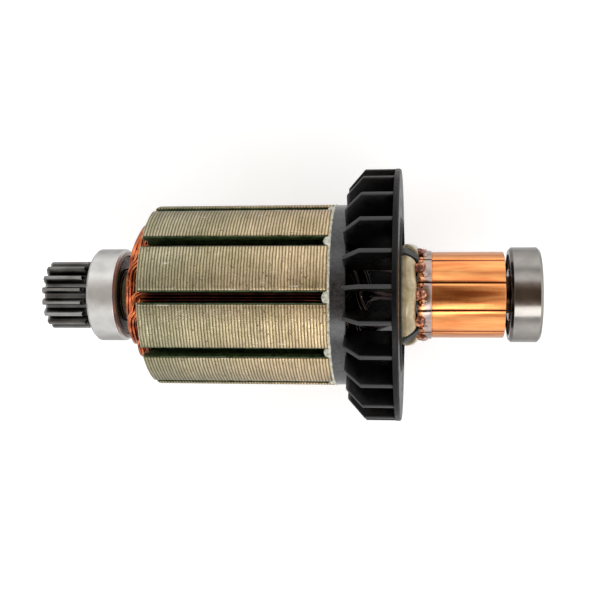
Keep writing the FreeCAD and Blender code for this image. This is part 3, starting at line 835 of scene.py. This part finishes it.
def core():
    """Stack of sheets: each sheet's edge is a rounded ridge, uneven and dented."""
    outline = slotted_outline(0.0, CORE_RADIUS, 0.0)
    stations = [(CORE_FRONT, 0.3)]
    for k in range(SHEET_COUNT):
        for share, depth in ((0.16, 0.25), (0.5, 0.0), (0.84, 0.25), (1.0, 1.0)):
            stations.append((CORE_FRONT + (k + share) * SHEET_PITCH, depth))
    rows = []
    for x, depth in stations:
        sheet = int((x - CORE_FRONT) / SHEET_PITCH)
        row = []
        for y, z in outline:
            radius = math.hypot(y, z)
            scale, shift = 1.0, 0.0
            if radius > CORE_RADIUS - 0.3:
                uneven = 0.6 + 0.5 * wave(y, z, sheet * 7.7, 3.0)
                dent = max(0.0, wave(x * 0.5, y, z + 30, 1.1) - 0.25) * 0.12
                scale = 1 - (GROOVE_DEPTH * depth * max(0.15, uneven) + dent) / radius
                if 0 < depth < 1:
                    shift = 0.07 * wave(y * 0.4, z * 0.4, sheet * 3.1, 2.2)
            row.append(Vector((x + shift, y * scale, z * scale)))
        rows.append(row)
    form = Form()
    bored(form, rows, CORE_FRONT, CORE_REAR)
    form.piece("sheet_stack", "rotor", "core_laminations", "core_sheet", SHEET, angle=50.0)


def coat():
    """Sprayed coat: a liner with an uneven lip in each slot, and a plate with a bare rim at each end."""
    form = Form()
    top = CORE_RADIUS - COAT_DROP
    front, rear = ends("core_insulation")
    outline = slotted_outline(COAT, top, COAT_ROUND)
    for x0, x1 in ((front, CORE_FRONT), (CORE_REAR, rear)):
        bored(form, [[Vector((x, y, z)) for y, z in outline] for x in (x0, x1)], x0, x1, paint=1)
    loop = slot_path(COAT, top, COAT_ROUND) + slot_path(0.0, top, COAT_ROUND)[::-1]
    for k in range(SLOT_COUNT):
        rows = []
        for step in range(COAT_STEPS + 1):
            x = CORE_FRONT + (CORE_REAR - CORE_FRONT) * step / COAT_STEPS
            row = []
            for across, up in loop:
                if up > top - 0.4:
                    up += 0.16 * wave(x, across * 3, k * 5.0, 1.3) - 0.06
                row.append(Vector((x, *turn(across, up, SLOT_PHASE + k * SLOT_PITCH))))
            rows.append(row)
        form.grid(rows, caps=True)
    form.piece("slot_coat", "rotor", "core_insulation", "core_coat", GREEN, SHEET, angle=40.0)


core()
coat()


# Coils

def head_route(x_end, side, reach, flat=1.0):
    """Centre line of a coil head, from the outer to the inner slot side. A knot is angle, radius and reach."""
    span = COIL_SPAN * SLOT_PITCH
    outer = OUTER_SIDE - HEAD_OUTER_DROP
    inner = INNER_SIDE - HEAD_INNER_DROP
    middle = (outer + inner) / 2 - HEAD_MIDDLE_DROP
    knots = [Vector(p) for p in (
        (TURN_ANGLE, OUTER_SIDE, TURN_REACH), (BULGE_ANGLE, OUTER_SIDE - HEAD_BULGE_DROP, reach * BULGE),
        (SLOT_PITCH, outer, reach * OUTER_SHOULDER), (span / 2, middle, reach),
        (span - SLOT_PITCH, inner, reach * INNER_SHOULDER), (span - TURN_ANGLE, INNER_SIDE, TURN_REACH))]
    bend = TURN_ANGLE / 8
    route = [Vector((0.0, OUTER_SIDE, 0.0)), Vector((bend, OUTER_SIDE, TURN_REACH / 2))]
    route += spline(knots, HEAD_STEPS, 0)
    route += [Vector((span - bend, INNER_SIDE, TURN_REACH / 2)), Vector((span, INNER_SIDE, 0.0))]
    return [at(x_end + side * p.z * flat, p.y, p.x) for p in route]


def side_run(start, end):
    """Straight run in a slot, without its end points."""
    return [start.lerp(end, i / SIDE_STEPS) for i in range(1, SIDE_STEPS)]


def coil(number):
    """Seven wires, spread out in the slots and drawn together at the heads."""
    front, rear = ends("core_insulation")
    head_front = head_route(front, -1, FRONT_HEAD_REACH, FLAT_HEADS.get(number, 1.0))[::-1]
    head_rear = head_route(rear, 1, REAR_HEAD_REACH)
    loop = head_front + side_run(head_front[-1], head_rear[0])
    loop += head_rear + side_run(head_rear[-1], head_front[0])
    places = [(0.0, 0.0)]
    places += [(WIRE * math.cos(a), WIRE * math.sin(a)) for a in map(math.radians, range(0, 360, 60))]
    paths = [[] for _ in places]
    lay = math.radians(random.Random(100 + number).uniform(30, 75))
    for i, centre in enumerate(loop):
        side, up = square_to(loop[i - 1], centre, loop[(i + 1) % len(loop)])
        gather = smooth(max(front - centre.x, centre.x - rear, 0.0) / GATHER_LENGTH)
        cos, sin = math.cos(lay * gather), math.sin(lay * gather)
        outer = math.hypot(centre.y, centre.z) > (OUTER_SIDE + INNER_SIDE) / 2
        for j, ((u, v), (across, rise)) in enumerate(zip(places, OUTER_PLACES if outer else INNER_PLACES)):
            across += (u * cos - v * sin - across) * gather
            rise += (u * sin + v * cos - rise) * gather
            loose = LOOSENESS * wave(centre.x, centre.y, centre.z + number * 9 + j * 4, 3.0)
            paths[j].append(centre + side * (across + loose) + up * (rise + loose / 2))
    form = Form()
    to_slot = spin(SLOT_PHASE + (number - 1) * SLOT_PITCH)
    for path in paths:
        form.wire([to_slot @ point for point in path], WIRE / 2, closed=True)
    form.piece("coil_%d_wires" % number, "rotor", "coil_%d" % number, "coil_copper", WIRE_ENAMEL, angle=60.0)


def lead(number):
    """Pair of wire ends that run from the coil heads under the tang of a bar."""
    rng = random.Random(40 + number)
    angle = BAR_PHASE + (number - 1) * SLOT_PITCH
    form = Form()
    for side in (-1, 1):
        swing = rng.uniform(-5, 5)
        lift = rng.uniform(-0.4, 0.6)
        knots = [Vector(p) for p in (
            (DISC_BACK - 8.2, 13.6 + lift, 9 * side + swing),
            (DISC_BACK - 5.4, 12.9 + lift, 5 * side + swing),
            (DISC_BACK - 2.6, 11.0, 2.6 * side + swing / 2), (DISC_BACK, LEAD_RADIUS, 2.25 * side),
            (RISER_START - 1.0, LEAD_RADIUS, 2.25 * side), (RISER_START, LEAD_RADIUS + 0.1, 2.2 * side))]
        form.wire([at(p.x, p.y, p.z + angle) for p in spline(knots, 26)], LEAD_WIRE / 2)
    form.piece("coil_%d_lead_wires" % number, "rotor", "coil_lead_%d" % number, "coil_copper", WIRE_ENAMEL,
               angle=60.0)


for number in range(1, SLOT_COUNT + 1):
    coil(number)
    lead(number)


# Fan and glue

ball = bmesh.new()
bmesh.ops.create_icosphere(ball, subdivisions=4, radius=1.0)
BALL_POINTS, BALL_FACES = mesh_parts(ball)


def fan():
    """Disc, collar with a flange that closes the slot mouths, and bevelled blades."""
    form = Form()
    face = DISC_FACE - RIM_TRIM
    lip = HOLE_RADIUS + 0.6
    sunk = DISC_FACE - RECESS_DEPTH
    form.lathe(rounded([
        (DISC_BACK, HOLE_RADIUS), (DISC_BACK, FAN_RADIUS, 0.12), (face - 0.3, FAN_RADIUS, 0.2),
        (face, FAN_RADIUS - 0.3, 0.2), (face, RECESS_RADIUS), (sunk, RECESS_RADIUS - RECESS_DEPTH),
        (sunk, lip + 0.25), (DISC_FACE, lip), (DISC_FACE, HOLE_RADIUS),
    ], 0.12), FINE_SEGMENTS)
    flange = COLLAR_BORE - COLLAR_FLANGE
    form.lathe(rounded([
        (COLLAR_START, COLLAR_BORE), (COLLAR_START, COLLAR_RADIUS), (COLLAR_END, COLLAR_RADIUS),
        (COLLAR_END, COLLAR_BORE), (COLLAR_START + 1.8, COLLAR_BORE), (COLLAR_START + 1.8, flange),
        (COLLAR_START + 0.8, flange), (COLLAR_START + 0.8, COLLAR_BORE),
    ], 0.15), FINE_SEGMENTS)
    foot = COLLAR_BORE + 0.5
    tip = FAN_RADIUS - 0.05
    outline = [(COLLAR_END, BLADE_INNER_RADIUS), (COLLAR_END, foot), (BLADE_START, foot),
               (BLADE_START, BLADE_LOW_RADIUS), (BLADE_START + BLADE_SLOPE, tip), (DISC_BACK + 0.2, tip),
               (DISC_BACK + 0.2, BLADE_INNER_RADIUS)]
    work = bmesh.new()
    blade = work.faces.new([work.verts.new((x, -BLADE_THICKNESS / 2, radius)) for x, radius in outline])
    made = bmesh.ops.extrude_face_region(work, geom=[blade])["geom"]
    bmesh.ops.translate(work, vec=(0, BLADE_THICKNESS, 0),
                        verts=[v for v in made if isinstance(v, bmesh.types.BMVert)])
    bmesh.ops.recalc_face_normals(work, faces=work.faces)
    bmesh.ops.bevel(work, geom=work.edges[:], offset=BLADE_EDGE, segments=2, profile=0.5, affect="EDGES")
    points, faces = mesh_parts(work)
    for k in range(BLADE_COUNT):
        to_place = spin(BLADE_PHASE + k * 360.0 / BLADE_COUNT)
        form.add([to_place @ point for point in points], faces)
    form.piece("fan_moulding", "rotor", "cooling_fan", "fan_plastic", PLASTIC)


def glue():
    """Ragged ring of glue at the collar, with a bead in each slot mouth."""
    rows = []
    for share, lift in ((0.0, -1.6), (-0.2, -0.1), (0.35, 0.2), (0.8, 0.12), (1.3, -0.15), (1.35, -1.6)):
        row = []
        for angle, point in lumpy_turn():
            lump = wave(share * 2, point.y, point.z, 1.1)
            radius = CORE_RADIUS + (lift * (0.5 + 0.5 * lump) if lift > 0 else lift)
            if lift > -1:
                radius += 0.05 * wave(share * 3, point.y, point.z + 50, 0.35)
            drift = 0.12 * lump if 0 < share < 1.3 else 0.0
            x = COLLAR_START + GLUE_WIDTH * (share + drift - 1)
            row.append(at(x, min(radius, CORE_RADIUS + 0.04), angle))
        rows.append(row)
    form = Form()
    form.grid(rows, loop=True)
    for k in range(SLOT_COUNT):
        points = []
        for x, y, z in BALL_POINTS:
            swell = 1.0 + 0.12 * wave(x, y, z + k * 7, 0.7)
            place = min(COLLAR_START - 0.5 + x * 1.15 * swell, COLLAR_START)
            up = min(CORE_RADIUS - 0.55 + z * 0.7 * swell, CORE_RADIUS + 0.05)
            points.append(Vector((place, *turn(y * 1.35 * swell, up, SLOT_PHASE + k * SLOT_PITCH))))
        form.add(points, BALL_FACES)
    form.piece("glue_line", "rotor", "fan_glue", "glue", GLUE, angle=50.0)


fan()
glue()


# Commutator

def bar_row(x, top, sweep):
    """Closed section of a bar at a station."""
    half = sweep / 2
    slack = math.degrees(BAR_EDGE / top)
    side = [(BAR_FOOT, half - 1.5), (top - BAR_EDGE, half), (top - BAR_EDGE * 0.3, half - slack * 0.3)]
    row = [at(x, radius, -angle) for radius, angle in side]
    row += [at(x, top, (half - slack) * (2 * i / BAR_STEPS - 1)) for i in range(BAR_STEPS + 1)]
    return row + [at(x, radius, angle) for radius, angle in reversed(side)]


def commutator_bars():
    """Copper bars, each with its riser and a tang folded over the wire ends."""
    riser = radius_of("rear_bearing_outer_ring") - RISER_DROP
    track = riser - TRACK_DROP
    sweep = SLOT_PITCH - math.degrees(LINE_GAP / track)
    profile = [(RISER_START, riser - 0.15), (RISER_START + 0.06, riser - 0.04), (RISER_START + 0.15, riser),
               (RISER_END - 0.1, riser), (RISER_END - 0.02, riser - 0.05), (RISER_END, riser - 0.12),
               (RISER_END + 0.04, track - 0.06), (RISER_END + 0.18, track - 0.06), (RISER_END + 0.25, track),
               (TRACK_END - 0.18, track), (TRACK_END - 0.06, track - 0.05), (TRACK_END, track - 0.18)]
    for number in range(1, SLOT_COUNT + 1):
        angle = BAR_PHASE + (number - 1) * SLOT_PITCH
        form = Form()
        form.grid([[spin(angle) @ point for point in bar_row(x, top, sweep)] for x, top in profile],
                  caps=True)
        tang(form, number, angle, riser)
        form.piece("copper_bar_%d" % number, "rotor", "commutator_bar_%d" % number, "bar_copper",
                   COPPER, TANG)


def tang(form, number, angle, riser):
    """Fused tang: a dark lump over the wire ends and a smaller bright one beside it."""
    rng = random.Random(70 + number)
    for start, end, left, right, height, paint in TANG_LUMPS:
        start, left = start + rng.uniform(-0.15, 0.15), left + rng.uniform(-0.15, 0.15)
        points = []
        for x, y, z in BALL_POINTS:
            rough = 1.0 + 0.34 * wave(x, y, z + number * 6 + paint, 0.8)
            dip = 0.22 * math.exp(-((x + 0.1) ** 2 + y * y) * 5) * paint
            up = riser - 0.1 + (height + 0.1) * (z * rough - dip * max(0.0, z))
            across = (left + right) / 2 + y * (right - left) / 2 * rough
            place = RISER_START + TANG_INSET + (start + end) / 2 + x * (end - start) / 2 * rough
            points.append(Vector((place, *turn(across, min(up, riser + TANG_HEIGHT), angle))))
        form.add(points, BALL_FACES, paint)


def moulding():
    """Black moulding under the bars with arms between the resin, and the bush and spacer on the shaft."""
    bush = radius_of("commutator_bush")
    hub = radius_of("commutator_moulding")
    end = TRACK_END - 0.15
    form = Form()
    form.lathe(rounded([
        (HUB_START, bush), (HUB_START, hub), (RISER_START, hub), (end, hub), (end, bush),
    ], 0.2), FINE_SEGMENTS)
    moulding_arms(form)
    form.piece("black_moulding", "rotor", "commutator_moulding", "moulding", MOULDING)
    pipe("steel_bush", "commutator_bush", "bush_steel", GROUND, HUB_START, TRACK_END, BUSH_BORE, 0.15)
    pipe("black_spacer", "shaft_spacer", "moulding", MATT, *ends("shaft_spacer"))


def arms_at(share):
    """Angles and half width of the black arms, which spread and widen towards the fan at share 0."""
    lean = (1 - share) ** 1.2
    return (-54 - 10.5 * lean, 54.5 + 17 * lean, 126 - 12 * lean, -126 + 12 * lean), 7.5 + 3.5 * lean


def resin():
    """Four smooth lobes of resin over the wire ends, parted by the moulding's diagonal arms."""
    low, high = ends("lead_resin")
    low -= RIM_TRIM
    outside = radius_of("lead_resin")
    rows = []
    for share, drop in RESIN_PROFILE:
        arms, half = arms_at(share)
        row = []
        for angle, point in lumpy_turn():
            radius = outside + drop
            if drop > -2:
                radius += 0.25 * wave(share * 1.6, point.y, point.z, 4.6) - 0.12
                radius += 0.015 * wave(share * 4.0, point.y, point.z + 30, 1.2)
            off = min(abs((angle - arm + 180.0) % 360.0 - 180.0) for arm in arms)
            radius -= RESIN_CUT * (1 - smooth((off - half + 2.0) / 5.0))
            radius = max(LEAD_RADIUS - 0.2, min(outside, radius))
            reach = 0.88 + 0.2 * wave(3.0, point.y, point.z, 4.2) + 0.12 * smooth((abs(point.y) - 7.5) / 2.0)
            row.append(at(low + (high - low) * min(1.0, share * reach), radius, angle))
        rows.append(row)
    form = Form()
    form.grid(rows, loop=True)
    form.piece("wire_resin", "rotor", "lead_resin", "resin", RESIN, angle=60.0)


def moulding_arms(form):
    """Black arms between the lobes of resin."""
    low, high = ends("lead_resin")
    top = radius_of("lead_resin") - 0.35
    foot = radius_of("commutator_moulding") - 0.1
    for arm in range(4):
        rows = []
        for step in range(ARM_STEPS + 1):
            share = step / ARM_STEPS
            angles, half = arms_at(share)
            height = top - 1.3 * share ** 2
            section = [(-1.0, foot), (-0.95, height - 0.5), (-0.7, height - 0.1), (0.0, height),
                       (0.7, height - 0.1), (0.95, height - 0.5), (1.0, foot)]
            rows.append([at(low + (high - low) * share, radius, angles[arm] + across * half)
                         for across, radius in section])
        form.grid(rows, caps=True)


commutator_bars()
moulding()
resin()


# Floor, lights and camera

def floor():
    """Pale sheet that the fan's rim stands on. It doesn't show in reflections."""
    net = Shader("paper", specular=0.2)
    tone = net.ramp(net.spots(40.0, detail=2.0), (0.3, 0.78), (0.7, 0.82))
    net.out["Emission Color"].default_value = (1.0, 1.0, 1.0, 1.0)
    net.out["Emission Strength"].default_value = FLOOR_GLOW
    mesh = bpy.data.meshes.new("floor")
    corners = [(x * FLOOR_REACH, y * FLOOR_REACH) for x, y in ((-1, -1), (1, -1), (1, 1), (-1, 1))]
    mesh.from_pydata([Vector((x, y, -FAN_RADIUS)) * MM for x, y in corners], [], [[0, 1, 2, 3]])
    mesh.materials.append(net.done(tone, 0.9))
    sheet = link("floor", mesh)
    sheet.visible_glossy = False


def panel(name, place, width, height, power):
    """Soft rectangular light."""
    light = bpy.data.lights.new(name, "AREA")
    light.shape = "RECTANGLE"
    light.size = width * MM
    light.size_y = height * MM
    light.energy = power
    thing = link(name, light)
    thing.location = Vector(place) * MM
    thing.rotation_euler = (Vector(PANEL_AIM) - Vector(place)).to_track_quat("-Z", "Y").to_euler()


def sky(tree):
    """Light that changes with the height above the horizon and fades from left to right."""
    net = Nodes(tree)
    way = net.new("SeparateXYZ", net.new("TexCoord").outputs["Generated"]).outputs
    height = net.between(net.math("ARCCOSINE", way[2]), 0.0, 1.0, 0.0, math.pi)
    sides = []
    for side, warmth in enumerate(WARMTH):
        stops = []
        for degrees, left, right, share in STUDIO:
            bright, warm = (left, right)[side], share * warmth
            stops.append((degrees / 180.0, (bright, bright * (1 - warm), bright * (1 - BLUE_LOSS * warm))))
        sides.append(net.ramp(height, *stops))
    lean = net.between(way[0], 0.0, 1.0, LEFT_LEAN, RIGHT_LEAN)
    net.put(net.mix(lean, *sides), net.nodes["Background"].inputs["Color"])


def camera():
    """Camera above the armature, as far away as the photograph's perspective asks."""
    lens = bpy.data.cameras.new("camera")
    lens.lens = CAMERA_LENS
    lens.sensor_width = 36.0
    lens.shift_x, lens.shift_y = CAMERA_SHIFT
    lens.clip_start, lens.clip_end = 0.01, 10.0
    thing = link("camera", lens)
    thing.location = Vector(CAMERA_PLACE) * MM
    thing.rotation_euler = (0.0, CAMERA_LEAN, 0.0)
    bpy.context.scene.camera = thing


floor()
panel("upper_panel", (-120.0, 268.0, 225.0), 260.0, 110.0, 0.05)
panel("lower_panel", (12.0, -228.0, 268.0), 240.0, 150.0, 0.27)
world = bpy.data.worlds.new("studio")
world.use_nodes = True
sky(world.node_tree)
bpy.context.scene.world = world
bpy.context.scene.view_settings.view_transform = "Standard"
camera()
